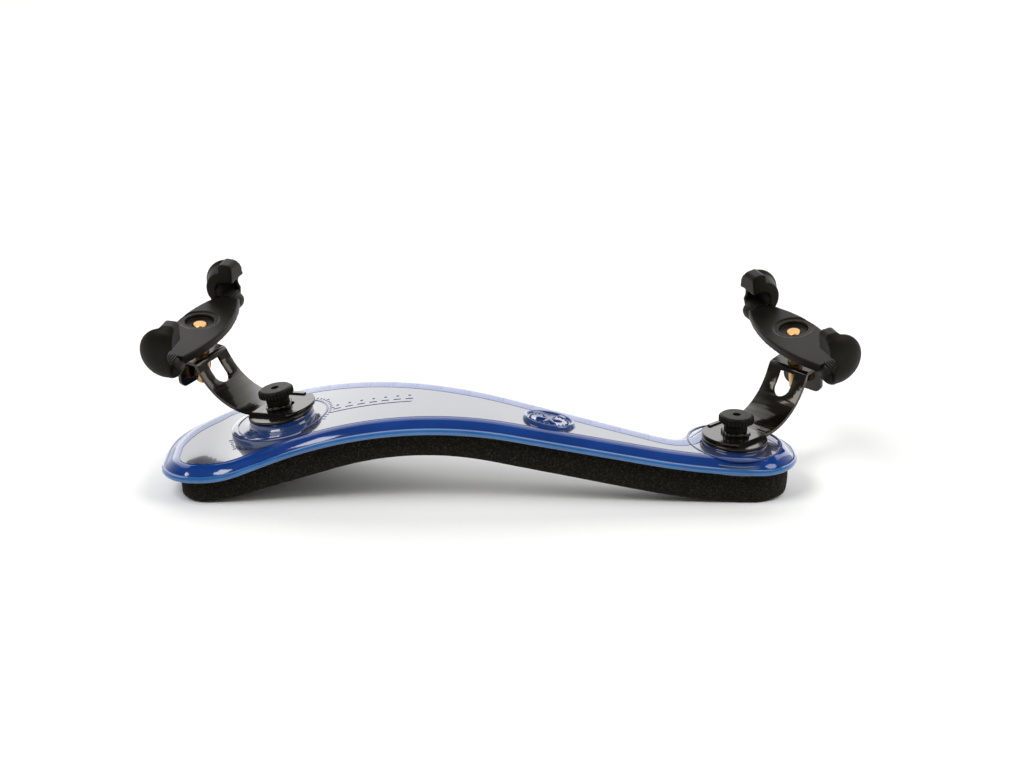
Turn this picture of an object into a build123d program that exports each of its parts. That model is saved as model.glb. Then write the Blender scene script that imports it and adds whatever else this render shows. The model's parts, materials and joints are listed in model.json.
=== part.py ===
"""Violin shoulder rest: a curved plate with a foam pad below and two height-adjustable feet above.

Millimetres. X runs along the rest, Y across it away from the player's side, Z up.
Everything is laid out about the middle of the plate, and moved at the end so that the origin is the
middle of the rest's footprint, on the surface it stands on.
"""
from math import cos, radians, sin, sqrt, tan
import os

from build123d import *

# ---- plate, seen from above
PLATE_LEFT = -113.2
PLATE_RIGHT = 96.2
PLATE_FRONT = -19.2
PLATE_BACK_RIGHT = 17.8
OUTLINE = [  # corner x, corner y, corner radius; anticlockwise from the front left
    (PLATE_LEFT, PLATE_FRONT, 12.0),
    (PLATE_RIGHT, PLATE_FRONT, 15.0),
    (PLATE_RIGHT, PLATE_BACK_RIGHT, 20.0),
    (66.0, PLATE_BACK_RIGHT, 12.0),
    (56.5, 0.5, 5.0),
    (-8.6, 15.2, 300.0),
    (-94.3, 44.6, 18.0),
    (PLATE_LEFT, 16.2, 46.0),
]

# ---- plate, seen from the front: corners and arc radii of the underside of plate and foam
PLATE_CURVE = [(-125, 8.1), (-93.0, 8.1), (-37.9, 30.1), (71.9, 9.8), (110, 11.0)]
PLATE_RADII = [34.0, 140.0, 240.0]
FOAM_CURVE = [(-125, 0.0), (-94.0, 0.0), (-30.3, 19.6), (63.5, 0.0), (110, 0.0)]
FOAM_RADII = [60.0, 100.0, 200.0]
FLANGE = 2.2  # edge thickness
LAND = 4.4  # thickness inside the bevel
BEVEL_WIDTH = 4.8
BEVEL_INSET = 0.5
FOAM_INSET = 3.0
FOAM_SHORT = 3.4  # further inset at the left end
FOAM_GAP = 0.05
REACH_Y = (-40.0, 60.0)  # a slab longer than the plate is wide
TALL = 60.0  # higher than the plate, for drawing right through it

# ---- medallion on the plate
MEDALLION_AT = (14.3, -6.5)
MEDALLION_SEMI = (8.3, 6.4)
MEDALLION_RISE = 1.4
MEDALLION_RIM = 1.3
MEDALLION_SUNK = 0.5
STAR_RADIUS = 3.2
STAR_WIDTH = 0.9  # half width of a pair of petals

# ---- pedestals: centre of the top face, lean from vertical about Y, direction of the bracket,
# place of the screw along the bracket's clamp slot, direction of the fork and its height on the bracket
FEET = {
    "left": {"centre": (-74.6, 4.8, 23.6), "lean": -11.0, "heading": 147.0, "slide": -0.6,
             "fork": -106.0, "height": 12.2},
    "right": {"centre": (75.8, -1.2, 16.3), "lean": 2.5, "heading": 46.0, "slide": 0.6,
              "fork": -67.5, "height": 13.5},
}
PEDESTAL_R = 10.8
PEDESTAL_ROOT = 6.5
STEP_R = 17.5
STEP_DROP = 2.4  # the step round a pedestal, where the plate falls away below it
RING_R = 15.0
RING_WIDTH = 0.8
RING_DEPTH = 0.35
INSERT_R = 3.4
INSERT_LENGTH = 4.2
FIT = 0.05  # radial clearance of a turning fit

# ---- clamp: swivel disc, washer, knob and its screw
DISC_R = 10.9
DISC_T = 1.0
SCREW_R = 1.95
CLAMP_GAP = 0.03  # between the bracket and the washer
WASHER_T = 1.3
WASHER_R = 5.1
WASHER_LOBES = 4
LOBE_R = 1.9
KNOB_HEAD_R = 5.6
KNOB_HEAD_T = 2.4
KNOB_NECK_R = 3.9
KNOB_NECK_H = 3.1
KNOB_DOME = 1.0
KNOB_RIBS = 30
KNOB_CONE_H = 1.2  # the neck opens out to the head over this height
RIB_R = 0.28
KNOB_HOLE_R = 1.35
KNOB_HOLE_FLOOR = 1.0

# ---- bracket: bent strip
STRIP_T = 1.2
WASHER_AT = DISC_T + STRIP_T + CLAMP_GAP  # height of the washer's underside
STRIP_W = 15.6
LIP_W = 9.3  # distance of the lip's outer face from the middle of the strip
LIP_H = 0.5
ARM_START = 6.5
ARM_R = 21.0
ARM_ANGLE = 70.0
ARM_TOP = 17.2  # height of the sharp top corner above the underside of the strip
FORK_LEAN = 13.0
LAND_LENGTH = 7.4
TAB_LENGTH = 10.9
TAB_ANGLE = 78.0
BEND_R = 1.2
TAB_CORNER_R = 3.0
SLOT_W = 6.4
SLOT_LOW = 52.0  # angle along the arm's arc of the slot's lower end
CLAMP_SLOT_L = 9.2
CLAMP_SLOT_W = 4.4
CLAMP_SLOT_ANGLE = 128.0
CLAMP_SLOT_AT = (-0.65, -1.45)

# ---- stud and fork, measured down from the fork's top face
STUD_R = 2.4
STUD_LENGTH = 21.5
STUD_TOP = 1.4
COLLAR_R = 3.6
COLLAR_T = 1.0
THRUST_R = 4.3
THRUST_T = 0.8
BUSH_R = 2.8
BUSH_T = 2.0
FORK_T = 2.8
FORK_INNER = [(-19.0, -6.6), (2.5, -10.8), (26.6, -5.7)]  # ends and middle of each long edge
FORK_OUTER = [(26.6, 2.6), (4.0, 7.1), (-19.0, 1.2)]
FORK_BOSS_R = 5.6
FORK_BOSS_H = 3.6
RECESS_R = 4.85
RECESS_DEPTH = 1.7
RECESS_RIM_R = 6.7
RECESS_RIM_DEPTH = 0.4
TONGUE_L = 5.6
TONGUE_W = 5.6
TONGUE_T = 1.8
TONGUE_DROP = 2.3

# ---- rubber claws: section across the violin's edge
CLAW_MIDDLE = -1.2
NEAR_CLAW = {"start": 25.4, "length": 8.4}
FAR_CLAW = {"start": 17.6, "length": 9.6}
CLAW_TURN = 2.0  # each claw is turned to lie along the violin's curved edge
CLAW_R = 8.8
CLAW_ROOT_R = 6.2  # the claw flares from here to its full radius at the rim
CLAW_RIM = 2.4
CLAW_END_WALL = 1.5
CLAW_END_OPEN = 1.6  # the end wall leaves the mouth open in front of this line
MOUTH_H = 5.6
MOUTH_SEAT = 0.2  # how far in front of the claw's middle line the round seat is centred
JAW_FRONT = 3.6
LIP_FRONT = 2.6
HEAD_TOP = 12.4
HEAD_BACK = 1.6


def slab(points, radii, low, high):
    """The space between a side-view curve raised by low and by high, right across the plate."""
    def curve(rise):
        return FilletPolyline(*[(x, z + rise) for x, z in points], radius=radii)
    ends = [Line((points[0][0], points[0][1] + low), (points[0][0], points[0][1] + high)),
            Line((points[-1][0], points[-1][1] + low), (points[-1][0], points[-1][1] + high))]
    face = make_face([curve(low), ends[1], curve(high), ends[0]])
    return Pos(0, REACH_Y[1], 0) * extrude(Plane.XZ * face, REACH_Y[1] - REACH_Y[0])


def plate_slab(low, high):
    return slab(PLATE_CURVE, PLATE_RADII, low, high)


def outline_face(inset, short=0):
    """The plate's outline seen from above, drawn in by inset and shortened at the left end."""
    corners = [(x + short if x == PLATE_LEFT else x, y) for x, y, _ in OUTLINE]
    face = make_face(FilletPolyline(*corners, radius=[r for _, _, r in OUTLINE], close=True))
    return offset(face, -inset) if inset else face


def outline_prism(inset, short=0):
    return extrude(outline_face(inset, short), TALL)


def foot_plane(side):
    """Frame on a pedestal's top face: X towards the bracket's top, Z along the clamp screw."""
    foot = FEET[side]
    normal = Vector(sin(radians(foot["lean"])), 0, cos(radians(foot["lean"])))
    ahead = Vector(cos(radians(foot["heading"])), sin(radians(foot["heading"])), 0)
    return Plane(origin=foot["centre"], x_dir=ahead - normal * ahead.dot(normal), z_dir=normal)


def strip_plane(side):
    """The foot's frame moved so that the bracket's clamp slot lies round the screw."""
    base = foot_plane(side)
    slot = radians(CLAMP_SLOT_ANGLE)
    along = -CLAMP_SLOT_AT[0] - FEET[side]["slide"] * cos(slot)
    aside = -CLAMP_SLOT_AT[1] - FEET[side]["slide"] * sin(slot)
    aside *= -1 if side == "left" else 1
    return Plane(origin=base.origin + base.x_dir * along + base.y_dir * aside,
                 x_dir=base.x_dir, z_dir=base.z_dir)


def stud_plane(side):
    """Frame on the middle of the bracket's top land: Z up the stud."""
    base = strip_plane(side)
    corner = arm_corner()
    lean = radians(FORK_LEAN)
    along = base.x_dir * cos(lean) + base.z_dir * sin(lean)
    up = base.z_dir * cos(lean) - base.x_dir * sin(lean)
    seat = corner + Vector(cos(lean), sin(lean)) * stud_offset()
    origin = base.origin + base.x_dir * seat.X + base.z_dir * (seat.Y + DISC_T) + up * (STRIP_T / 2)
    return Plane(origin=origin, x_dir=along, z_dir=up)


def fork_plane(side):
    """Frame in the fork's top face, on the stud's axis: X towards the near claw, Y inwards or outwards."""
    seat = stud_plane(side)
    turn = radians(FEET[side]["fork"])
    near = Vector(cos(turn), sin(turn), 0)
    origin = seat.origin + seat.z_dir * FEET[side]["height"]
    return Plane(origin=origin, x_dir=near - seat.z_dir * near.dot(seat.z_dir), z_dir=seat.z_dir)


def mirrored(part, side):
    """Feet are a mirrored pair: parts are drawn for the right one, with Y to the back of the rest."""
    return mirror(part, Plane.XZ) if side == "left" else part


# ------------------------------------------------------------------ plate and pad

def medallion():
    across, deep = MEDALLION_SEMI
    at = Pos(*MEDALLION_AT, 0)
    raised = at * extrude(Ellipse(across, deep), TALL)
    sunk = at * extrude(Ellipse(across - MEDALLION_RIM, deep - MEDALLION_RIM), TALL)
    star = Sketch() + [Rot(0, 0, turn) * Ellipse(STAR_RADIUS, STAR_WIDTH) for turn in (0, 60, 120)]
    oval = plate_slab(LAND - 1, LAND + MEDALLION_RISE) & raised
    oval -= plate_slab(LAND + MEDALLION_RISE - MEDALLION_SUNK, LAND + 5) & sunk
    oval += plate_slab(LAND, LAND + MEDALLION_RISE - 0.1) & (at * extrude(star, TALL))
    return oval


def base_plate():
    body = plate_slab(0, LAND) & outline_prism(BEVEL_INSET)
    top = [face for face in body.faces() if face.normal_at().Z > 0.5]
    rim = [edge for face in top for edge in face.outer_wire().edges() if not crosses(edge)]
    body = chamfer(rim, LAND - FLANGE, BEVEL_WIDTH)
    body += plate_slab(0, FLANGE) & outline_prism(0)
    for side, foot in FEET.items():
        x, y, _ = foot["centre"]
        ring = Pos(x, y, 0) * extrude(Circle(RING_R) - Circle(RING_R - RING_WIDTH), TALL)
        body -= plate_slab(LAND - RING_DEPTH, LAND + 5) & ring
        place = foot_plane(side).location
        post = place * Pos(0, 0, -PEDESTAL_ROOT) * extrude(Circle(PEDESTAL_R), PEDESTAL_ROOT)
        step = place * Pos(0, 0, -STEP_DROP - PEDESTAL_ROOT) * extrude(Circle(STEP_R), PEDESTAL_ROOT)
        body += (post + step) & plate_slab(0.5, TALL)
        body -= place * Pos(0, 0, -INSERT_LENGTH) * extrude(Circle(INSERT_R), INSERT_LENGTH + 1)
    body += medallion()
    return body


def crosses(edge):
    """True for a seam that runs straight across the plate, false for an edge along its outline."""
    start, end = edge.position_at(0), edge.position_at(1)
    inside = PLATE_FRONT + 2 < edge.position_at(0.5).Y
    return abs(start.X - end.X) < 0.01 and inside and PLATE_LEFT + 2 < start.X < PLATE_RIGHT - 2


def foam_pad():
    top = plate_slab(-40, -FOAM_GAP)
    bottom = slab(FOAM_CURVE, FOAM_RADII, 0, 40)
    return top & bottom & outline_prism(FOAM_INSET, FOAM_SHORT)


# ------------------------------------------------------------------ clamp at each pedestal

def boss_insert():
    return Pos(0, 0, -INSERT_LENGTH) * extrude(Circle(INSERT_R) - Circle(SCREW_R + FIT), INSERT_LENGTH)


def swivel_disc():
    disc = extrude(Circle(DISC_R) - Circle(SCREW_R + 0.2), DISC_T)
    return chamfer(disc.edges().group_by(Axis.Z)[-1].sort_by(SortBy.LENGTH)[-1], 0.2)


def clamp_washer():
    plan = Sketch() + Circle(WASHER_R - 0.8)
    plan += [loc * Circle(LOBE_R) for loc in PolarLocations(WASHER_R - LOBE_R, WASHER_LOBES, 10)]
    plan -= Circle(SCREW_R + FIT)
    return Pos(0, 0, WASHER_AT) * extrude(plan, WASHER_T)


def clamp_knob():
    base = WASHER_AT + WASHER_T
    neck = Pos(0, 0, base) * extrude(Circle(KNOB_NECK_R), KNOB_NECK_H)
    head_at = base + KNOB_NECK_H
    cone = Pos(0, 0, head_at - KNOB_CONE_H / 2) * Cone(KNOB_NECK_R, KNOB_HEAD_R - 0.5, KNOB_CONE_H)
    head = Pos(0, 0, head_at) * extrude(Circle(KNOB_HEAD_R), KNOB_HEAD_T)
    head = fillet(head.edges().group_by(Axis.Z)[-1], KNOB_DOME)
    knob = neck + cone + head
    ribs = Sketch() + [loc * Circle(RIB_R) for loc in PolarLocations(KNOB_HEAD_R + 0.05, KNOB_RIBS)]
    knob -= Pos(0, 0, head_at) * extrude(ribs, KNOB_HEAD_T + 1)
    knob -= Pos(0, 0, head_at + KNOB_HOLE_FLOOR) * extrude(Circle(KNOB_HOLE_R), KNOB_HEAD_T)
    knob -= Pos(0, 0, base) * extrude(Circle(SCREW_R), KNOB_NECK_H)
    return knob


def clamp_screw():
    top = WASHER_AT + WASHER_T + KNOB_NECK_H
    foot = -INSERT_LENGTH + 0.4
    return Pos(0, 0, foot) * extrude(Circle(SCREW_R), top - foot)


# ------------------------------------------------------------------ bracket

def arm_corner():
    """Sharp corner between arm and land, in the strip's side view (x outwards, y up)."""
    arc_end = Vector(ARM_START + ARM_R * sin(radians(ARM_ANGLE)), ARM_R * (1 - cos(radians(ARM_ANGLE))))
    climb = ARM_TOP - arc_end.Y
    return Vector(arc_end.X + climb / tan(radians(ARM_ANGLE)), ARM_TOP)


def stud_offset():
    """Distance of the stud from the arm's corner: the middle of the land's flat."""
    low = BEND_R * tan(radians(ARM_ANGLE - FORK_LEAN) / 2)
    high = BEND_R * tan(radians(FORK_LEAN + TAB_ANGLE) / 2)
    return low + (LAND_LENGTH - low - high) / 2


def parallel(points, shift):
    """The corners of a line through points moved to its left by shift."""
    moved = []
    for before, here, after in zip([None] + points[:-1], points, points[1:] + [None]):
        ways = [(b - a).normalized() for a, b in ((before, here), (here, after)) if a and b]
        sides = [Vector(-way.Y, way.X) for way in ways]
        mean = sides[0] + sides[-1]
        moved.append(here + mean * (shift / mean.dot(sides[0])))
    return moved


def strip_side_view():
    """Side view of the bent strip, thickness STRIP_T about a line of straight runs and bends."""
    lean = radians(FORK_LEAN)
    corner = arm_corner()
    shoulder = corner + Vector(cos(lean), sin(lean)) * LAND_LENGTH
    tab = shoulder + Vector(cos(radians(TAB_ANGLE)), -sin(radians(TAB_ANGLE))) * TAB_LENGTH
    knee = ARM_START + ARM_R * tan(radians(ARM_ANGLE) / 2)
    middle = [Vector(-2, STRIP_T / 2), Vector(knee, STRIP_T / 2), corner, shoulder, tab]
    half = STRIP_T / 2
    above = FilletPolyline(*parallel(middle, half), radius=[ARM_R - half, BEND_R + half, BEND_R + half])
    below = FilletPolyline(*parallel(middle, -half), radius=[ARM_R + half, BEND_R - half, BEND_R - half])
    return make_face([above, below, Line(above @ 0, below @ 0), Line(above @ 1, below @ 1)])


def bracket():
    arm = Pos(0, STRIP_W / 2, 0) * extrude(Plane.XZ * strip_side_view(), STRIP_W)
    tips = [e for e in arm.edges().filter_by(lambda e: abs(e.length - STRIP_T) < 0.01)
            if e.center().X > arm_corner().X + 2]
    arm = fillet(tips, TAB_CORNER_R)
    plan = Circle(DISC_R) & (Pos(-20 + ARM_START, (LIP_W - STRIP_W / 2) / 2)
                             * Rectangle(40, LIP_W + STRIP_W / 2))
    body = arm + extrude(plan, STRIP_T)
    lip_run = sqrt(DISC_R ** 2 - LIP_W ** 2)
    lip = Pos(lip_run / 4, LIP_W - STRIP_T / 2, 0) * Box(lip_run * 1.5, STRIP_T, STRIP_T + LIP_H,
                                                        align=(Align.CENTER, Align.CENTER, Align.MIN))
    body += lip
    body -= arm_slot()
    slot = extrude(SlotOverall(CLAMP_SLOT_L, CLAMP_SLOT_W), 5)
    body -= Pos(*CLAMP_SLOT_AT, 0) * Rot(0, 0, CLAMP_SLOT_ANGLE) * slot
    lean = radians(FORK_LEAN)
    seat = arm_corner() + Vector(cos(lean), sin(lean)) * stud_offset()
    hole = Pos(seat.X, 0, seat.Y) * Rot(0, -FORK_LEAN, 0) * Cylinder(STUD_R + 0.2, 2 * STRIP_T)
    return Pos(0, 0, DISC_T) * (body - hole)


def arm_slot():
    """Round-bottomed slot up the steep part of the arm."""
    low = radians(SLOT_LOW)
    foot = Vector(ARM_START + ARM_R * sin(low), ARM_R * (1 - cos(low)))
    corner = arm_corner()
    run = corner - foot
    length = run.length - 1.6
    across = Plane(origin=(foot.X, 0, foot.Y), x_dir=(run.X, 0, run.Y), z_dir=(-run.Y, 0, run.X))
    shape = Pos(length / 2 + SLOT_W / 4, 0) * Rectangle(length - SLOT_W / 2, SLOT_W)
    shape += Pos(SLOT_W / 2, 0) * Circle(SLOT_W / 2)
    return extrude(across * shape, 4, both=True)


def stud_bush():
    """Collar under the land that carries the stud's thread; drawn in the stud's frame."""
    tube = extrude(Circle(BUSH_R) - Circle(STUD_R + FIT), BUSH_T)
    return Pos(0, 0, -STRIP_T - BUSH_T) * tube


# ------------------------------------------------------------------ fork, stud and claws

def fork_plan():
    inner = ThreePointArc(*FORK_INNER)
    outer = ThreePointArc(*FORK_OUTER)
    ends = [Line(inner @ 1, outer @ 0), Line(outer @ 1, inner @ 0)]
    return make_face([inner, ends[0], outer, ends[1]])


def fork():
    plate = Pos(0, 0, -FORK_T) * extrude(fork_plan(), FORK_T)
    plate = fillet(plate.edges().group_by(Axis.Z)[-1].filter_by(GeomType.CIRCLE), 0.5)
    boss = Pos(0, 0, -FORK_T - FORK_BOSS_H) * extrude(Circle(FORK_BOSS_R), FORK_BOSS_H)
    body = plate + boss
    body -= Pos(0, 0, -RECESS_DEPTH) * extrude(Circle(RECESS_R), RECESS_DEPTH + 1)
    body -= Pos(0, 0, -RECESS_RIM_DEPTH) * extrude(Circle(RECESS_RIM_R), 1)
    body -= Pos(0, 0, -20) * extrude(Circle(STUD_R + FIT), 30)
    return body + tongue(NEAR_CLAW["start"]) + mirror(tongue(FAR_CLAW["start"]), Plane.YZ)


def tongue(start):
    """Flat tongue at the near end of the fork, inside the claw's wall."""
    at = claw_place(start) * Pos(TONGUE_L / 2, 0, -TONGUE_DROP + TONGUE_T / 2)
    return at * Box(TONGUE_L, TONGUE_W, TONGUE_T)


def thrust_washer():
    low = FORK_T + FORK_BOSS_H + THRUST_T
    return Pos(0, 0, -low) * extrude(Circle(THRUST_R) - Circle(STUD_R + FIT), THRUST_T)


def stud():
    shank = Pos(0, 0, -STUD_TOP - STUD_LENGTH) * extrude(Circle(STUD_R), STUD_LENGTH)
    shank = chamfer(shank.edges().filter_by(GeomType.CIRCLE), 0.3)
    low = FORK_T + FORK_BOSS_H + THRUST_T + COLLAR_T
    return shank + Pos(0, 0, -low) * extrude(Circle(COLLAR_R), COLLAR_T)


def claw_place(start):
    """Where a claw starts on the near end of the fork, turned inwards."""
    return Pos(start, CLAW_MIDDLE, 0) * Rot(0, 0, -CLAW_TURN)


def claw_mouth(seat_depth):
    """Section of the space for the violin's edge: a round seat seat_depth behind the middle line."""
    mid = MOUTH_H / 2
    return Pos(seat_depth, mid) * Circle(mid) + Pos(seat_depth - 10, mid) * Rectangle(20, MOUTH_H)


def claw(start, length):
    """A claw at the near end of the fork, closed at its outer end."""
    axis = Pos(0, 0, MOUTH_H / 2) * Rot(0, 90, 0)
    flare = length - CLAW_RIM
    body = axis * Pos(0, 0, flare / 2) * Cone(CLAW_ROOT_R, CLAW_R, flare)
    rim = axis * Pos(0, 0, length - CLAW_RIM / 2) * Cylinder(CLAW_R, CLAW_RIM)
    body += fillet(rim.edges().group_by(Axis.X)[-1], 1.0)
    head_at = Pos((HEAD_BACK - JAW_FRONT) / 2, (HEAD_TOP + MOUTH_H / 2) / 2)
    head = head_at * RectangleRounded(JAW_FRONT + HEAD_BACK, HEAD_TOP - MOUTH_H / 2, 1.5)
    body += extrude(Plane.YZ * head, length - CLAW_RIM / 2)
    body -= Pos(0, -JAW_FRONT - 10, MOUTH_H / 2 + 10) * Box(4 * length, 20, 20)
    body -= Pos(0, -LIP_FRONT - 10, MOUTH_H / 2 - 10) * Box(4 * length, 20, 20)
    body -= extrude(Plane.YZ * claw_mouth(-MOUTH_SEAT), length - CLAW_END_WALL)
    body -= extrude(Plane.YZ * claw_mouth(-CLAW_END_OPEN - MOUTH_H / 2), length)
    return claw_place(start) * body


def parts():
    """Every sub-part in its resting place, by name."""
    pieces = {"base_plate": base_plate(), "foam_pad": foam_pad()}
    for side in FEET:
        at_foot = foot_plane(side).location
        for name, shape in (("boss_insert", boss_insert()), ("swivel_disc", swivel_disc()),
                            ("clamp_washer", clamp_washer()), ("clamp_knob", clamp_knob()),
                            ("clamp_screw", clamp_screw())):
            pieces[f"{side}_{name}"] = at_foot * mirrored(shape, side)
        pieces[f"{side}_bracket"] = strip_plane(side).location * mirrored(bracket(), side)
        pieces[f"{side}_stud_bush"] = stud_plane(side).location * stud_bush()
        at_fork = fork_plane(side).location
        near_tip = claw(**NEAR_CLAW) - fork()
        far_tip = mirror(claw(**FAR_CLAW), Plane.YZ) - fork()
        for name, shape in (("thrust_washer", thrust_washer()), ("stud", stud()), ("fork", fork()),
                            ("near_tip", near_tip), ("far_tip", far_tip)):
            pieces[f"{side}_{name}"] = at_fork * mirrored(shape, side)
    box = Compound(list(pieces.values())).bounding_box()
    home = Pos(-box.center().X, -box.center().Y, -box.min.Z)
    return {name: home * piece for name, piece in pieces.items()}, home


def main():
    os.makedirs("parts", exist_ok=True)
    for name, piece in parts()[0].items():
        export_step(piece, f"parts/{name}.step")


main()
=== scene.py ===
"""Looks of a violin shoulder rest: a blue moulded plate, a foam pad and two black adjustable feet.

Sizes are in millimetres in the helpers and in metres in Blender. The pieces are drawn about the origin of
the CAD source, which is called home here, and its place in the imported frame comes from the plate's box.
"""
import json
from math import cos, pi, radians, sin, sqrt, tan

import bmesh
import bpy
import numpy as np
from mathutils import Matrix, Vector, noise

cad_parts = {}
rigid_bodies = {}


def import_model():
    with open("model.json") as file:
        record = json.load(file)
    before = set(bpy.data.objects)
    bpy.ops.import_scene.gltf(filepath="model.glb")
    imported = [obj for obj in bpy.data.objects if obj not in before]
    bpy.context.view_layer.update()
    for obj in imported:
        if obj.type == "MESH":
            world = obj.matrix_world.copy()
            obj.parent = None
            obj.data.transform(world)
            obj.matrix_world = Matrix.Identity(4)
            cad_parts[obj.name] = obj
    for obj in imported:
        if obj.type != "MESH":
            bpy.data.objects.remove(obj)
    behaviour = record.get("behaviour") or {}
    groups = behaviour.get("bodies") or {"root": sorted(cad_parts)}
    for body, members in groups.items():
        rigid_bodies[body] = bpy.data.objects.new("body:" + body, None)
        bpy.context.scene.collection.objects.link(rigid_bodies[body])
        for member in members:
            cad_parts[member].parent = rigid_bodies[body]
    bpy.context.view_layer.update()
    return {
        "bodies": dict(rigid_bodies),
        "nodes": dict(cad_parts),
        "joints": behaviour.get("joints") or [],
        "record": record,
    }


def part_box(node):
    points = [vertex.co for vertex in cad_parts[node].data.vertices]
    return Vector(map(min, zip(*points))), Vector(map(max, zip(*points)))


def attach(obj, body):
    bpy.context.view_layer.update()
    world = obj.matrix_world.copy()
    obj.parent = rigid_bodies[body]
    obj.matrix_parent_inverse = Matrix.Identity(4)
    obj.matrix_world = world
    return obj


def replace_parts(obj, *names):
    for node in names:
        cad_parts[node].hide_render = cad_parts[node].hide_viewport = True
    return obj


MM = 0.001

# ---- plate and pad outline seen from above: corner x, corner y, corner radius
PLATE_LEFT, PLATE_RIGHT, PLATE_FRONT, PLATE_BACK_RIGHT = -113.2, 96.2, -19.2, 17.8
OUTLINE = [
    (PLATE_LEFT, PLATE_FRONT, 12.0),
    (PLATE_RIGHT, PLATE_FRONT, 15.0),
    (PLATE_RIGHT, PLATE_BACK_RIGHT, 20.0),
    (66.0, PLATE_BACK_RIGHT, 12.0),
    (56.5, 0.5, 5.0),
    (-8.6, 15.2, 300.0),
    (-94.3, 44.6, 18.0),
    (PLATE_LEFT, 16.2, 46.0),
]
# undersides seen from the front: corner x, corner z, corner radius
PLATE_CORNERS = [(-125, 8.1, 0), (-93.0, 8.1, 34), (-37.9, 30.1, 140), (71.9, 9.8, 240), (110, 11.0, 0)]
FOAM_CORNERS = [(-125, 0.0, 0), (-94.0, 0.0, 60), (-30.3, 19.6, 100), (63.5, 0.0, 200), (110, 0.0, 0)]
LAND = 4.4  # height of the plate's top, inside its bevel, above its underside
FOAM_INSET = 3.0  # the pad's edge lies this far inside the plate's
FOAM_SHORT = 3.4  # the pad's further inset at the left end
FOAM_GAP = 0.05  # between the pad and the plate
FOAM_WAVE = 0.12  # unevenness of the pad's skin
OUTLINE_STEP = 1.4  # between points along the outline
ARC_STEP = 1.2  # roughly, between points along a rounded corner
STATION = 1.6  # the plate and pad are cut into strips of this width along their length
SNAP = 1e-4  # a vertex this close to a station lies on it

# ---- decoration
MEDALLION_AT = (14.3, -6.5)
MEDALLION_SEMI = (8.3, 6.4)
PETAL_PAIRS = 3
BEADS = 24
RING_R = 15.0  # inner radius of the raised ring round a foot
RING_ARC = 12  # degrees in one piece of the ring
RING_MARGIN = 1.6  # the ring stops this far from the plate's edge
TICKS = 60  # in a whole turn
LONG_TICK = 5  # every fifth tick is longer
TICK_MARGIN = 6.5  # the same for the ticks
DASHES = 7
DASH_AT = (-57.0, 3.2)  # start of the first dash
DASH_PITCH = 4.0
DASH_LENGTH = 2.4
DOT_Y = 6.2
RULE_AT = (-58.0, 0.6)  # start of the long line under the dashes
RULE_POINTS = 28  # a millimetre apart

# ---- claws and knobs
CLAW_R = 8.8
CLAW_REACH = {"near": 4.95, "far": 5.55}  # from the middle of the mouth to the outer end
CHIN_AT = (1.6, -5.9)  # towards the violin and up, from the middle of the mouth
DOME_DEPTH = 5.0  # length of the claw's outer end that is made a dome
DOME_DROP = 2.6  # how far the end is drawn back at the radius CLAW_R
RIDGES = 4
RIDGE_PITCH = 0.85
FORK_VOXEL, CLAW_VOXEL = 0.00028, 0.00030  # metres
FORK_RUBS, CLAW_RUBS = 3, 10  # smoothing passes
KNOB_R = 5.6
KNOB_LOW, KNOB_HIGH = 6.7, 8.5  # the ribbed band's ends above the pedestal
KNOB_RIBS = 30

# ---- camera, about home
CAMERA_AT = (0.0, -653.5, 288.0)
CAMERA_TILT = 69.0
CAMERA_LENS = 76.0
SENSOR = 36.0

# ---- tones of the one blue plastic, two of them painted light or shade: dark and light colour, roughness, strength of the polished coat
BLUES = {
    "rim": ((0.014, 0.09, 0.28, 1), (0.028, 0.15, 0.40, 1), 0.10, 0.8),
    # darkest blue: painted shade in the step groove and in the crease round the land
    "line": ((0.002, 0.016, 0.12, 1), (0.004, 0.026, 0.16, 1), 0.12, 0.3),
    "bevel": ((0.003, 0.028, 0.16, 1), (0.006, 0.045, 0.23, 1), 0.07, 0.5),
    "band": ((0.004, 0.038, 0.21, 1), (0.008, 0.055, 0.27, 1), 0.08, 0.4),
    # greyed blue: a painted reflection of the bright room on the flat land
    "top": ((0.026, 0.034, 0.060, 1), (0.042, 0.050, 0.080, 1), 0.14, 0.9),
    "post": ((0.003, 0.020, 0.10, 1), (0.007, 0.040, 0.18, 1), 0.10, 0.6),
    "collar": ((0.014, 0.035, 0.11, 1), (0.024, 0.05, 0.16, 1), 0.12, 0.8),
    "badge": ((0.010, 0.040, 0.16, 1), (0.018, 0.060, 0.22, 1), 0.12, 0.8),
    "mark": ((0.002, 0.018, 0.12, 1), (0.004, 0.028, 0.17, 1), 0.18, 0.3),
}
# area lights, in metres and watts: name, place, width, power
LIGHTS = [
    ("key", (-0.7, -0.5, 1.1), 0.7, 12.0),
    ("fill", (0.9, -0.3, 0.9), 0.8, 8.0),
    ("back", (0.1, 1.4, 1.0), 2.4, 23.0),
]
FLOOR_SIZE, FLOOR_AT = 9.0, (0, 1.5, -0.0002)  # metres

SIDES = ("left", "right")
WELD = 0.00001  # metres; the CAD meshes' split edges are joined within this
EDGE_ANGLE = 28.0  # a kept CAD node's edges sharper than this are broken


# ------------------------------------------------------------------ materials

def new_material(name, **sockets):
    """A Principled material with these socket values, and its node tree and shader."""
    mat = bpy.data.materials.new(name)
    mat.use_nodes = True
    shader = mat.node_tree.nodes["Principled BSDF"]
    for socket, value in sockets.items():
        shader.inputs[socket.replace("_", " ")].default_value = value
    return mat, mat.node_tree, shader


def coords(tree):
    """Object coordinates."""
    return tree.nodes.new("ShaderNodeTexCoord").outputs["Object"]


def noise_node(tree, scale, detail, rough=0.6):
    """The value of a noise texture in object coordinates."""
    node = tree.nodes.new("ShaderNodeTexNoise")
    node.inputs["Scale"].default_value = scale
    node.inputs["Detail"].default_value = detail
    node.inputs["Roughness"].default_value = rough
    tree.links.new(coords(tree), node.inputs["Vector"])
    return node.outputs["Fac"]


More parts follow.
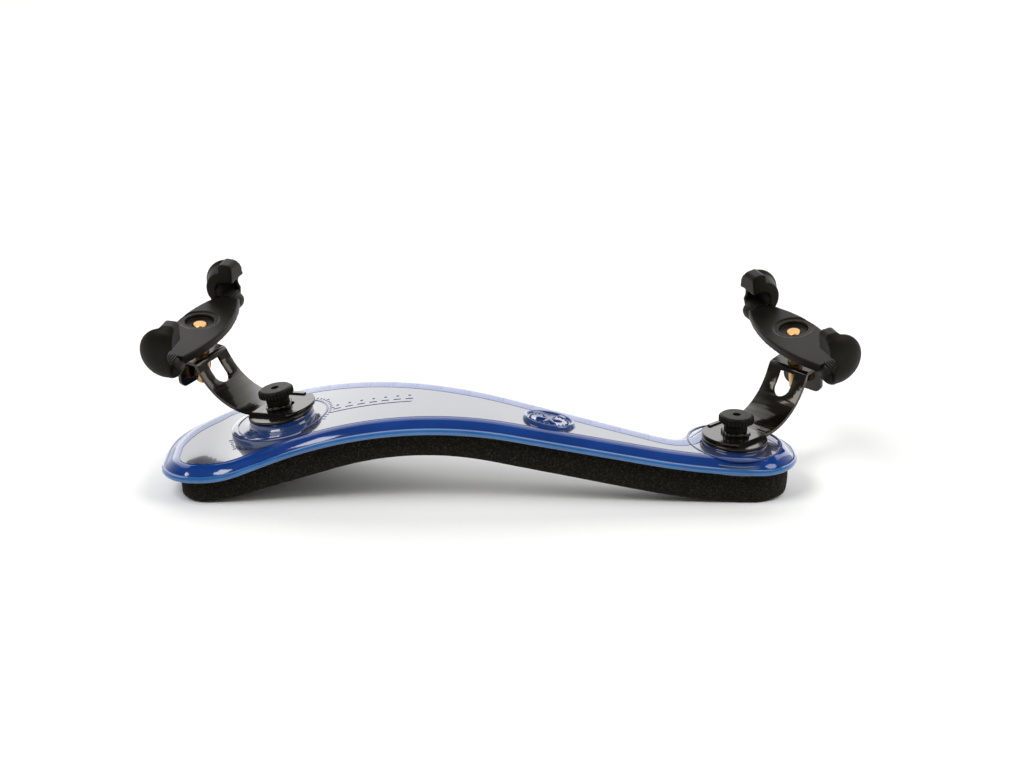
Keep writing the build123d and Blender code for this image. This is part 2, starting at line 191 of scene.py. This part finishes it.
def ramp(tree, fac, stops):
    """A colour that runs through stops (position, colour) with fac."""
    node = tree.nodes.new("ShaderNodeValToRGB")
    node.color_ramp.elements[0].position, node.color_ramp.elements[0].color = stops[0]
    node.color_ramp.elements[1].position, node.color_ramp.elements[1].color = stops[-1]
    for position, color in stops[1:-1]:
        node.color_ramp.elements.new(position).color = color
    tree.links.new(fac, node.inputs["Fac"])
    return node.outputs["Color"]


def bump(tree, shader, height, strength, distance):
    """Fine relief in the shader's normal."""
    node = tree.nodes.new("ShaderNodeBump")
    node.inputs["Strength"].default_value = strength
    node.inputs["Distance"].default_value = distance
    tree.links.new(height, node.inputs["Height"])
    tree.links.new(node.outputs["Normal"], shader.inputs["Normal"])


def vary(tree, shader, socket, fac, low, high):
    """Sets a socket to run from low to high with fac."""
    node = tree.nodes.new("ShaderNodeMapRange")
    node.inputs["To Min"].default_value = low
    node.inputs["To Max"].default_value = high
    tree.links.new(fac, node.inputs["Value"])
    tree.links.new(node.outputs["Result"], shader.inputs[socket])


def blue_plastic(name, dark, light, roughness, polish):
    """Tinted polished plastic: slow cloudy variation in the colour, faint flow waves, hairline wear."""
    mat, tree, shader = new_material(name, Coat_Weight=polish, Coat_Roughness=0.03, Coat_IOR=1.5, IOR=1.5,
                                     Specular_IOR_Level=0.45)
    cloud = noise_node(tree, 55.0, 3.0)
    tree.links.new(ramp(tree, cloud, [(0.3, dark), (0.72, light)]), shader.inputs["Base Color"])
    vary(tree, shader, "Roughness", noise_node(tree, 900.0, 6.0), roughness * 0.7, roughness * 1.4)
    bump(tree, shader, noise_node(tree, 35.0, 2.0), 0.08, 0.0006)
    return mat


def foam_material():
    """Open-cell foam: near-black with olive and brown specks, and pores cut in by a cell pattern."""
    mat, tree, shader = new_material("foam", Roughness=0.95, Specular_IOR_Level=0.08, Sheen_Weight=0.03,
                                     Sheen_Roughness=0.6)
    cells = tree.nodes.new("ShaderNodeTexVoronoi")
    cells.inputs["Scale"].default_value = 1900.0
    tree.links.new(coords(tree), cells.inputs["Vector"])
    speck = noise_node(tree, 1700.0, 2.0, 0.7)
    colour = ramp(tree, speck, [(0.36, (0.0035, 0.0032, 0.0022, 1)), (0.54, (0.010, 0.0088, 0.0055, 1)),
                                (0.70, (0.034, 0.029, 0.018, 1))])
    tree.links.new(colour, shader.inputs["Base Color"])
    bump(tree, shader, cells.outputs["Distance"], 0.45, 0.0003)
    return mat


def black_metal():
    """Gloss black stoved paint: orange-peel waves and a little dust in the roughness."""
    mat, tree, shader = new_material("black_metal", IOR=1.45, Coat_Weight=0.35, Coat_Roughness=0.05,
                                     Specular_IOR_Level=0.3, Specular_Tint=(1.0, 0.88, 0.70, 1))
    tone = noise_node(tree, 120.0, 3.0)
    tree.links.new(ramp(tree, tone, [(0.35, (0.0035, 0.003, 0.002, 1)), (0.7, (0.009, 0.0075, 0.005, 1))]),
                   shader.inputs["Base Color"])
    vary(tree, shader, "Roughness", noise_node(tree, 400.0, 5.0), 0.10, 0.24)
    bump(tree, shader, noise_node(tree, 260.0, 2.0), 0.10, 0.0003)
    return mat


def black_plastic(name, low, high, roughness, grain, depth):
    """Satin moulded plastic or rubber: spark-eroded grain with slightly worn, paler high spots."""
    mat, tree, shader = new_material(name, IOR=1.4, Specular_IOR_Level=0.16,
                                     Specular_Tint=(1.0, 0.90, 0.74, 1))
    fine = noise_node(tree, grain, 4.0)
    broad = noise_node(tree, 90.0, 3.0)
    tree.links.new(ramp(tree, broad, [(0.3, low), (0.75, high)]), shader.inputs["Base Color"])
    vary(tree, shader, "Roughness", fine, roughness * 0.85, roughness * 1.15)
    bump(tree, shader, fine, 0.35, depth)
    return mat


def metal(name, color, roughness):
    """Turned metal: fine tool marks and small tarnish."""
    mat, tree, shader = new_material(name, Metallic=1.0)
    tarnish = noise_node(tree, 700.0, 5.0)
    dull = tuple(0.72 * c for c in color)
    tone = ramp(tree, tarnish, [(0.35, dull + (1,)), (0.65, color + (1,))])
    tree.links.new(tone, shader.inputs["Base Color"])
    vary(tree, shader, "Roughness", tarnish, roughness * 0.7, roughness * 1.4)
    bump(tree, shader, noise_node(tree, 2500.0, 2.0), 0.15, 0.0001)
    return mat


def floor_material():
    """Nearly white paper."""
    mat, tree, shader = new_material("floor_paper", Roughness=0.9, Specular_IOR_Level=0.1)
    cloud = noise_node(tree, 6.0, 2.0)
    colour = ramp(tree, cloud, [(0.3, (0.90, 0.90, 0.89, 1)), (0.7, (0.93, 0.93, 0.92, 1))])
    tree.links.new(colour, shader.inputs["Base Color"])
    return mat


# ------------------------------------------------------------------ shapes

def fillet(corners, closed):
    """Points along a line through corners (x, y, radius) with its corners rounded."""
    line = []
    count = len(corners)
    for i, (x, y, radius) in enumerate(corners):
        if not closed and i in (0, count - 1):
            line.append((x, y))
            continue
        here = np.array((x, y), float)
        back = np.array(corners[i - 1][:2], float) - here
        ahead = np.array(corners[(i + 1) % count][:2], float) - here
        back, ahead = back / np.linalg.norm(back), ahead / np.linalg.norm(ahead)
        half = np.arccos(np.clip(back @ ahead, -1, 1)) / 2
        middle = (back + ahead) / np.linalg.norm(back + ahead)
        centre = here + middle * (radius / sin(half))
        turn = pi - 2 * half
        way = np.sign(back[0] * ahead[1] - back[1] * ahead[0])
        start = here + back * (radius / tan(half)) - centre
        steps = max(4, int(turn * radius / ARC_STEP))
        for k in range(steps + 1):
            a = -way * turn * k / steps
            line.append(tuple(centre + (start[0] * cos(a) - start[1] * sin(a),
                                        start[0] * sin(a) + start[1] * cos(a))))
    return np.array(line)


def evenly(line, step):
    """A closed line with a point about every step along it."""
    closed = np.vstack([line, line[:1]])
    lengths = np.r_[0, np.cumsum(np.linalg.norm(np.diff(closed, axis=0), axis=1))]
    at = np.linspace(0, lengths[-1], int(lengths[-1] / step), endpoint=False)
    return np.column_stack([np.interp(at, lengths, closed[:, k]) for k in (0, 1)])


def plan_of(corners):
    """A closed outline from its corners, with points evenly along it."""
    return evenly(fillet(corners, closed=True), OUTLINE_STEP)


def inward(line):
    """Unit normals into a closed anticlockwise line."""
    along = np.roll(line, -1, axis=0) - np.roll(line, 1, axis=0)
    along /= np.linalg.norm(along, axis=1)[:, None]
    return np.column_stack([-along[:, 1], along[:, 0]])


def height_of(curve, x):
    """Height of an underside curve at x."""
    return np.interp(x, curve[:, 0], curve[:, 1])


PLATE_CURVE = fillet(PLATE_CORNERS, closed=False)
FOAM_CURVE = fillet(FOAM_CORNERS, closed=False)


def add_object(name, bm, mats, body, smooth=35.0):
    """Turns bm, in millimetres about home, into a piece that rides on body."""
    mesh = bpy.data.meshes.new(name)
    bmesh.ops.recalc_face_normals(bm, faces=bm.faces)
    bm.to_mesh(mesh)
    bm.free()
    piece = bpy.data.objects.new(name, mesh)
    bpy.context.scene.collection.objects.link(piece)
    for mat in mats:
        mesh.materials.append(mat)
    mesh.transform(Matrix.Scale(MM, 4))
    mesh.transform(Matrix.Translation(home))
    mesh.shade_smooth()
    mesh.set_sharp_from_angle(angle=radians(smooth))
    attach(piece, body)
    return piece


def ring_body(line, profile, bands, crease=0.0):
    """Rings of line drawn in by each profile inset at each profile height, joined up, open top and bottom.

    bands gives the material of the strip that starts at each ring."""
    bm = bmesh.new()
    normals = inward(line)
    towards_back = np.clip(-normals[:, 1], 0, 1) ** 0.7
    rings = []
    for inset, height in profile:
        wider = towards_back * (crease if inset > CREASE_FROM else 0)
        rings.append([bm.verts.new((x, y, height)) for x, y in line + normals * (inset + wider)[:, None]])
    for k, (low, high) in enumerate(zip(rings, rings[1:])):
        for i in range(len(line)):
            j = (i + 1) % len(line)
            face = bm.faces.new((low[i], low[j], high[j], high[i]))
            face.material_index = bands[k]
    return bm


def cut_stations(bm, low, high, top, bottom):
    """Cuts a flat-drawn ring body across at every station along X, and closes it with strips from station
    to station, so that it can follow a curve. top and bottom are the materials of the strips."""
    stations = [float(x) for x in np.arange(low + STATION / 2, high, STATION)]
    for x in stations:
        bmesh.ops.bisect_plane(bm, geom=bm.verts[:] + bm.edges[:] + bm.faces[:], dist=1e-5,
                               plane_co=(x, 0, 0), plane_no=(1, 0, 0))
    middle = sum(v.co.z for v in bm.verts) / len(bm.verts)
    for upper, index in ((True, top), (False, bottom)):
        open_edges = [e for e in bm.edges if len(e.link_faces) == 1 and (e.verts[0].co.z > middle) == upper]
        rim = walk(open_edges)
        for start, end in zip([low - STATION] + stations, stations + [high + STATION]):
            strip = [v for v in rim if start - SNAP <= v.co.x <= end + SNAP]
            if len(strip) > 2:
                bm.faces.new(strip).material_index = index


def walk(edges):
    """The vertices of a closed loop of edges, in order."""
    left = set(edges)
    here = edges[0].verts[0]
    loop = []
    while left:
        edge = next(e for e in here.link_edges if e in left)
        left.discard(edge)
        loop.append(here)
        here = edge.other_vert(here)
    return loop


# ------------------------------------------------------------------ plate

PLATE_PROFILE = [  # inset from the edge, height above the underside: rounded rim, step, hollow bevel, land
    (5.0, 0.0), (0.9, 0.0), (0.35, 0.15), (0.08, 0.5), (0.0, 0.95), (0.05, 1.4), (0.3, 1.85), (0.8, 2.1),
    (1.15, 2.12), (1.3, 2.06), (1.5, 2.2), (2.0, 2.62), (2.8, 3.25), (3.7, 3.82), (4.5, 4.16), (5.1, 4.33),
    (5.7, LAND), (5.75, LAND), (5.95, LAND - 0.1), (6.15, LAND + 0.02), (6.5, LAND + 0.02),
]
CREASE_FROM = 5.72  # rings drawn in further than this follow the crease round the land
CREASE_BACK = 4.2  # the crease lies this much further in along the back edge than along the front
# the strips of the step groove and of the crease round the land take the darkest blue as painted shade; the
# land's strips take a greyed blue as a painted reflection
RIM, PAINTED_SHADE_LINE, BEVEL, BAND, TOP = range(5)
PLATE_BANDS = [RIM] * 7 + [PAINTED_SHADE_LINE] * 3 + [BEVEL] * 6 + [BAND] + [PAINTED_SHADE_LINE] * 2 + [TOP] * 2


def plate(mats):
    """The plate: its ring profile drawn flat, cut at the stations and bent to the underside curve."""
    bm = ring_body(plan_of(OUTLINE), PLATE_PROFILE, PLATE_BANDS, CREASE_BACK)
    cut_stations(bm, PLATE_LEFT, PLATE_RIGHT, TOP, RIM)
    for v in bm.verts:
        v.co.z += float(height_of(PLATE_CURVE, v.co.x))
    # of these, 'line' is painted shade in the groove and crease, and 'top' a painted reflection on the land
    tones_and_painted_light = [mats[key] for key in ("rim", "line", "bevel", "band", "top")]
    return add_object("plate_shell", bm, tones_and_painted_light, "rest", 24.0)


def on_plate(x, y, above):
    """A point this far above the plate's top face."""
    return Vector((x, y, float(height_of(PLATE_CURVE, x)) + LAND + above))


def raised_ellipse(bm, centre, profile, segments=64, turn=0.0, index=0):
    """An elliptical relief on the plate: profile is (semi-axis x, semi-axis y, height above the land)."""
    rings = []
    for a, b, height in profile:
        ring = []
        for k in range(segments):
            t = 2 * pi * k / segments
            dx, dy = a * cos(t), b * sin(t)
            x = centre[0] + dx * cos(turn) - dy * sin(turn)
            y = centre[1] + dx * sin(turn) + dy * cos(turn)
            ring.append(bm.verts.new(on_plate(x, y, height)))
        rings.append(ring)
    for low, high in zip(rings, rings[1:]):
        for k in range(segments):
            j = (k + 1) % segments
            bm.faces.new((low[k], low[j], high[j], high[k])).material_index = index
    bm.faces.new(rings[-1]).material_index = index


def medallion(mats):
    """Oval badge: beaded raised rim round a sunk field with a plain six-petal star."""
    bm = bmesh.new()
    a, b = MEDALLION_SEMI
    rim = [(0.5, -0.3), (0.4, 0.1), (0.05, 0.9), (-0.15, 1.25), (-0.5, 1.4), (-0.9, 1.25), (-1.15, 0.8),
           (-1.3, 0.7)]
    petals = [(4.3, 0.8, 0.5), (4.2, 0.7, 0.95), (3.8, 0.45, 1.15), (3.0, 0.1, 1.2)]
    raised_ellipse(bm, MEDALLION_AT, [(a + out, b + out, height) for out, height in rim] + [(0.5, 0.4, 0.75)])
    for k in range(PETAL_PAIRS):
        raised_ellipse(bm, MEDALLION_AT, petals, 32, k * pi / PETAL_PAIRS, 1)
    for k in range(BEADS):
        t = 2 * pi * k / BEADS
        at = (MEDALLION_AT[0] + (a - 2.1) * cos(t), MEDALLION_AT[1] + (b - 2.1) * sin(t))
        raised_ellipse(bm, at, [(0.32, 0.32, 0.6), (0.3, 0.3, 0.9), (0.16, 0.16, 1.05)], 10, 0, 1)
    add_object("medallion", bm, [mats["badge"], mats["mark"]], "rest")


def bar(bm, points, half, height, depth=0.3):
    """A raised line on the plate through points, with a rounded top."""
    rows = []
    for i, p in enumerate(points):
        a, b = points[max(i - 1, 0)], points[min(i + 1, len(points) - 1)]
        way = Vector((b[0] - a[0], b[1] - a[1])).normalized()
        side = Vector((-way.y, way.x))
        rows.append([bm.verts.new(on_plate(p[0] + side.x * w, p[1] + side.y * w, h))
                     for w, h in ((-half, -depth), (-half, height * 0.6), (-half * 0.5, height),
                                  (half * 0.5, height), (half, height * 0.6), (half, -depth))])
    for low, high in zip(rows, rows[1:]):
        for k in range(len(low) - 1):
            bm.faces.new((low[k], low[k + 1], high[k + 1], high[k]))
    bm.faces.new(rows[0][::-1])
    bm.faces.new(rows[-1])


def arc(centre, radius, low, high, steps):
    """Points along an arc between two angles in degrees."""
    return [(centre[0] + radius * cos(radians(a)), centre[1] + radius * sin(radians(a)))
            for a in np.linspace(low, high, steps)]


def on_land(line, x, y, margin):
    """True where the plate's edge is further than margin away and the point is inside it."""
    ahead = np.roll(line, -1, axis=0)
    over = (line[:, 1] > y) != (ahead[:, 1] > y)
    rise = np.where(ahead[:, 1] == line[:, 1], 1, ahead[:, 1] - line[:, 1])
    cross = line[:, 0] + (y - line[:, 1]) / rise * (ahead[:, 0] - line[:, 0])
    inside = np.count_nonzero(over & (x < cross)) % 2 == 1
    return inside and np.min(np.hypot(line[:, 0] - x, line[:, 1] - y)) > margin


def plate_marks(mats, feet):
    """Moulded marks: a ring round each foot, an angle scale by the left one, and a row of dashes and dots."""
    bm = bmesh.new()
    line = plan_of(OUTLINE)
    for side in SIDES:
        x, y = feet[side]["x"], feet[side]["y"]
        for low in range(0, 360, RING_ARC):
            spots = arc((x, y), RING_R + 0.4, low, low + RING_ARC, 4)
            if all(on_land(line, px, py, RING_MARGIN) for px, py in spots):
                bar(bm, spots, 0.4, 0.22)
        for k in range(TICKS if side == "left" else 0):
            a = radians(360 * k / TICKS)
            reach = 2.8 if k % LONG_TICK == 0 else 2.1
            spots = [(x + r * cos(a), y + r * sin(a)) for r in (RING_R + 1.2, RING_R + reach)]
            if all(on_land(line, px, py, TICK_MARGIN) for px, py in spots):
                bar(bm, spots, 0.2, 0.14)
    for k in range(DASHES):
        x, y = DASH_AT[0] + DASH_PITCH * k, DASH_AT[1]
        bar(bm, [(x, y), (x + DASH_LENGTH, y)], 0.28, 0.16)
        raised_ellipse(bm, (x + DASH_LENGTH / 2, DOT_Y),
                       [(0.55, 0.55, -0.2), (0.5, 0.5, 0.1), (0.3, 0.3, 0.18)], 14)
    bar(bm, [(RULE_AT[0] + k, RULE_AT[1]) for k in range(RULE_POINTS)], 0.2, 0.14)
    add_object("plate_marks", bm, [mats["mark"]], "rest")


# ------------------------------------------------------------------ lathe pieces and frames

def lathe(bm, frame, profile, segments=72, index=0):
    """Turns profile (radius, height) round the Z axis of frame."""
    angles = [2 * pi * k / segments for k in range(segments)]
    rings = [[bm.verts.new(frame @ Vector((r * cos(a), r * sin(a), h))) for a in angles]
             for r, h in profile]
    for low, high in zip(rings, rings[1:]):
        for k in range(segments):
            j = (k + 1) % segments
            bm.faces.new((low[k], low[j], high[j], high[k])).material_index = index
    bm.faces.new(rings[0][::-1]).material_index = index
    bm.faces.new(rings[-1]).material_index = index


def frame_of(origin, z_axis, x_axis):
    """A frame in millimetres about home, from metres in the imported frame."""
    z = Vector(z_axis).normalized()
    x = Vector(x_axis)
    x = (x - z * x.dot(z)).normalized()
    y = z.cross(x)
    at = (Vector(origin) - home) / MM
    return Matrix(((x.x, y.x, z.x, at.x), (x.y, y.y, z.y, at.y), (x.z, y.z, z.z, at.z), (0, 0, 0, 1)))


def pedestals(mats, feet):
    """Round boss under each foot with its stepped collar; the lower part is sunk in the plate."""
    for side in SIDES:
        bm = bmesh.new()
        place = feet[side]["frame"]
        lathe(bm, place, [(10.0, -6.2), (10.9, -6.2), (10.95, -2.3), (10.8, -0.5), (10.6, -0.15), (10.3, 0.0),
                          (4.0, -0.02)])
        lathe(bm, place, [(15.0, -5.6), (17.5, -5.6), (17.5, -2.9), (17.35, -2.55), (17.0, -2.4),
                          (15.4, -2.35), (15.1, -2.6), (14.8, -2.35), (12.0, -2.3), (11.3, -2.1),
                          (10.9, -1.6), (9.5, -1.5)], 96, 1)
        add_object(f"{side}_pedestal", bm, [mats["post"], mats["collar"]], "rest")


# ------------------------------------------------------------------ pad

FOAM_PROFILE = [  # inset, share of the height from the underside to the plate
    (6.0, 0.0), (2.2, 0.0), (1.0, 0.02), (0.35, 0.07), (0.05, 0.16), (-0.12, 0.32), (-0.18, 0.5), (-0.1, 0.7),
    (0.05, 0.86), (0.25, 0.96), (0.8, 0.995), (4.0, 1.0),
]
PARAMETER = 20.0  # the share is stored as a height of this many millimetres while the pad is cut


def pad(mat):
    """The foam pad: slightly crowned sides, a soft lower edge and the uneven skin of cut foam."""
    line = plan_of([(x + FOAM_SHORT if x == PLATE_LEFT else x, y, r) for x, y, r in OUTLINE])
    line = line + inward(line) * FOAM_INSET
    profile = [(inset, share * PARAMETER) for inset, share in FOAM_PROFILE]
    bm = ring_body(line, profile, [0] * (len(profile) - 1))
    cut_stations(bm, PLATE_LEFT + FOAM_SHORT, PLATE_RIGHT, 0, 0)
    for v in bm.verts:
        share = v.co.z / PARAMETER
        low = float(height_of(FOAM_CURVE, v.co.x))
        high = float(height_of(PLATE_CURVE, v.co.x)) - FOAM_GAP
        v.co.z = low + share * (high - low)
        if 0.0 < share < 0.99:
            v.co.x += FOAM_WAVE * noise.noise(Vector((v.co.x * 0.21, v.co.y * 0.21, v.co.z * 0.5)))
            v.co.y += FOAM_WAVE * noise.noise(Vector((v.co.z * 0.4, v.co.x * 0.17, 3.0)))
    piece = add_object("pad", bm, [mat], "rest", 60.0)
    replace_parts(piece, "foam_pad")


# ------------------------------------------------------------------ feet

def softened(node, name, body, mat, voxel, passes):
    """A moulded copy of a CAD node: remeshed fine and rubbed smooth, so that every edge is rounded."""
    source = frame["nodes"][node]
    piece = bpy.data.objects.new(name, source.data.copy())
    bpy.context.scene.collection.objects.link(piece)
    piece.modifiers.new("weld", "WELD").merge_threshold = WELD
    remesh = piece.modifiers.new("remesh", "REMESH")
    remesh.mode = "VOXEL"
    remesh.voxel_size = voxel
    rub = piece.modifiers.new("rub", "SMOOTH")
    rub.factor = 0.6
    rub.iterations = passes
    depsgraph = bpy.context.evaluated_depsgraph_get()
    made = bpy.data.meshes.new_from_object(piece.evaluated_get(depsgraph))
    piece.modifiers.clear()
    piece.data = made
    made.materials.clear()
    made.materials.append(mat)
    made.shade_smooth()
    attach(piece, body)
    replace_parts(piece, node)
    return piece


def rounded_cad(node, mat, width):
    """A CAD node that stays: its sharp edges are broken by width, and it takes a finished material."""
    obj = frame["nodes"][node]
    obj.data.materials.clear()
    obj.data.materials.append(mat)
    obj.modifiers.new("weld", "WELD").merge_threshold = WELD
    bevel = obj.modifiers.new("edges", "BEVEL")
    bevel.width = width * MM
    bevel.segments = 2
    bevel.limit_method = "ANGLE"
    bevel.angle_limit = radians(EDGE_ANGLE)
    bevel.harden_normals = True


def claw_frame(side, end):
    """A claw's frame about the middle of its mouth: X towards its closed outer end, Z up the stud."""
    mount = mounts[f"{side}_{end}_claw"]
    up = Vector(joints[f"{side}_fork_turn"]["axis"])
    along = up.cross(Vector(mount["axis"]))
    near, far = (Vector(mounts[f"{side}_{tip}_claw"]["pos_m"]) for tip in ("near", "far"))
    outwards = near - far if end == "near" else far - near
    return frame_of(mount["pos_m"], up, along if along.dot(outwards) > 0 else -along)


def round_end(piece, place, reach):
    """Draws the rim of a claw's outer end back, so that the end is a dome; reach is the end's X."""
    to_mm = Matrix.Scale(1 / MM, 4) @ Matrix.Translation(-home)
    back = to_mm.inverted()
    for v in piece.data.vertices:
        at = place.inverted() @ (to_mm @ v.co)
        share = min(max((at.x - (reach - DOME_DEPTH)) / DOME_DEPTH, 0.0), 1.0)
        radius = min(sqrt(at.y ** 2 + at.z ** 2) / CLAW_R, 1.2)
        at.x -= DOME_DROP * share * radius ** 3
        v.co = back @ (place @ at)


def mouth_ridges(side, end, mat):
    """Fine gripping ridges along the floor of a claw's mouth."""
    mount = mounts[f"{side}_{end}_claw"]
    place = frame_of(mount["pos_m"], joints[f"{side}_fork_turn"]["axis"], mount["axis"])
    bm = bmesh.new()
    for k in range(RIDGES):
        x = -0.6 + RIDGE_PITCH * k
        lathe(bm, place @ Matrix.Translation((x, 0, -2.72)) @ Matrix.Rotation(pi / 2, 4, "X"),
              [(0.30, -2.9), (0.34, -2.6), (0.34, 2.6), (0.30, 2.9)], 12)
    add_object(f"{side}_{end}_ridges", bm, [mat], f"{side}_fork_body")


def chin(side, end, mat):
    """The rounded roll under a claw's mouth that joins it to the fork's edge."""
    place = claw_frame(side, end)
    opening = Vector(mounts[f"{side}_{end}_claw"]["axis"])
    inwards = 1 if opening.dot(place.col[1].to_3d()) > 0 else -1
    at = place @ Matrix.Translation((0, inwards * CHIN_AT[0], CHIN_AT[1])) @ Matrix.Rotation(pi / 2, 4, "Y")
    long = CLAW_REACH[end]
    bm = bmesh.new()
    lathe(bm, at, [(1.2, -long + 1.0), (2.4, -long + 1.3), (3.0, -long + 2.2), (3.0, long - 3.6),
                   (2.6, long - 2.4), (1.6, long - 1.7)], 32)
    add_object(f"{side}_{end}_chin", bm, [mat], f"{side}_fork_body")


def knob_ribs(side, mat):
    """The knurled band round a clamp knob's head."""
    place = feet[side]["frame"]
    bm = bmesh.new()
    for k in range(KNOB_RIBS):
        a = 2 * pi * k / KNOB_RIBS
        at = place @ Matrix.Translation((KNOB_R * cos(a), KNOB_R * sin(a), 0))
        lathe(bm, at, [(0.12, KNOB_LOW - 0.15), (0.27, KNOB_LOW), (0.30, KNOB_HIGH - 0.4), (0.12, KNOB_HIGH)],
              8)
    add_object(f"{side}_knob_ribs", bm, [mat], f"{side}_clamp")


# ------------------------------------------------------------------ scene

def studio():
    """Pale floor, soft lights, and a room that is white low down at the back and dark above and in front."""
    bpy.ops.mesh.primitive_grid_add(x_subdivisions=40, y_subdivisions=40, size=FLOOR_SIZE, location=FLOOR_AT)
    floor = bpy.context.object
    floor.name = "floor"
    floor.data.materials.append(floor_material())
    world = bpy.data.worlds.new("room")
    bpy.context.scene.world = world
    world.use_nodes = True
    tree = world.node_tree
    back = tree.nodes["Background"]
    source = tree.nodes.new("ShaderNodeTexCoord")
    split = tree.nodes.new("ShaderNodeSeparateXYZ")
    tree.links.new(source.outputs["Generated"], split.inputs["Vector"])
    height = tree.nodes.new("ShaderNodeMath")
    height.operation = "MULTIPLY_ADD"
    height.inputs[1].default_value = -0.7
    height.inputs[2].default_value = 0.6
    tree.links.new(split.outputs["Z"], height.inputs[0])
    depth = tree.nodes.new("ShaderNodeMath")
    depth.operation = "MULTIPLY_ADD"
    depth.inputs[1].default_value = 0.6
    tree.links.new(split.outputs["Y"], depth.inputs[0])
    tree.links.new(height.outputs["Value"], depth.inputs[2])
    shade = ramp(tree, depth.outputs["Value"], [(0.0, (0.09, 0.085, 0.075, 1)), (0.2, (0.13, 0.13, 0.125, 1)),
                                                (0.5, (0.5, 0.5, 0.5, 1)), (0.78, (1.0, 1.0, 1.0, 1))])
    tree.links.new(shade, back.inputs["Color"])
    back.inputs["Strength"].default_value = 1.1
    for name, place, size, power in LIGHTS:
        light = bpy.data.lights.new(name, "AREA")
        light.energy, light.size = power, size
        lamp = bpy.data.objects.new(name, light)
        lamp.location = place
        lamp.rotation_euler = (-Vector(place)).to_track_quat("-Z", "Y").to_euler()
        bpy.context.scene.collection.objects.link(lamp)


def camera():
    """A camera at the front of the rest, looking down at it."""
    data = bpy.data.cameras.new("camera")
    data.lens, data.sensor_width = CAMERA_LENS, SENSOR
    cam = bpy.data.objects.new("camera", data)
    cam.location = Vector(CAMERA_AT) * MM + home
    cam.rotation_euler = (radians(CAMERA_TILT), 0, 0)
    bpy.context.scene.collection.objects.link(cam)
    bpy.context.scene.camera = cam


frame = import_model()
joints = {j["name"]: j for j in frame["joints"]}
mounts = {m["name"]: m for m in frame["record"]["mounts"]}

plate_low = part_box("base_plate")[0]
home = Vector((plate_low.x - PLATE_LEFT * MM, plate_low.y - PLATE_FRONT * MM, 0.0))

camera()
studio()
bpy.context.scene.view_settings.view_transform = "Standard"

blue = {key: blue_plastic(f"blue_{key}", *finish) for key, finish in BLUES.items()}
paint = black_metal()
nylon = black_plastic("black_plastic", (0.0045, 0.0038, 0.0026, 1), (0.010, 0.0085, 0.006, 1),
                      0.42, 1400.0, 0.00010)
rubber = black_plastic("black_rubber", (0.004, 0.0036, 0.0028, 1), (0.009, 0.0080, 0.006, 1),
                       0.45, 1800.0, 0.00008)
brass = metal("brass", (0.62, 0.36, 0.14), 0.34)
steel = metal("steel", (0.50, 0.50, 0.51), 0.35)

# CAD nodes of a foot that stay: node, material, width of the broken edges
KEPT_NODES = [("bracket", paint, 0.3), ("swivel_disc", paint, 0.1), ("clamp_washer", paint, 0.2),
              ("clamp_knob", nylon, 0.1), ("clamp_screw", steel, 0.1), ("boss_insert", brass, 0.1),
              ("stud_bush", brass, 0.1), ("thrust_washer", brass, 0.1), ("stud", brass, 0.1)]

feet = {}
for side in SIDES:
    swing = joints[f"{side}_swing"]
    place = frame_of(swing["pos_m"], swing["axis"], (1, 0, 0))
    feet[side] = {"frame": place, "x": place.translation.x, "y": place.translation.y}

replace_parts(plate(blue), "base_plate")
medallion(blue)
plate_marks(blue, feet)
pedestals(blue, feet)
pad(foam_material())

for side in SIDES:
    body = f"{side}_fork_body"
    softened(f"{side}_fork", f"{side}_fork_moulding", body, nylon,
             FORK_VOXEL, FORK_RUBS)
    for end in ("near", "far"):
        claw = softened(f"{side}_{end}_tip", f"{side}_{end}_claw", body, rubber,
                        CLAW_VOXEL, CLAW_RUBS)
        round_end(claw, claw_frame(side, end), CLAW_REACH[end])
        mouth_ridges(side, end, rubber)
        chin(side, end, rubber)
    knob_ribs(side, nylon)
    for node, mat, width in KEPT_NODES:
        rounded_cad(f"{side}_{node}", mat, width)
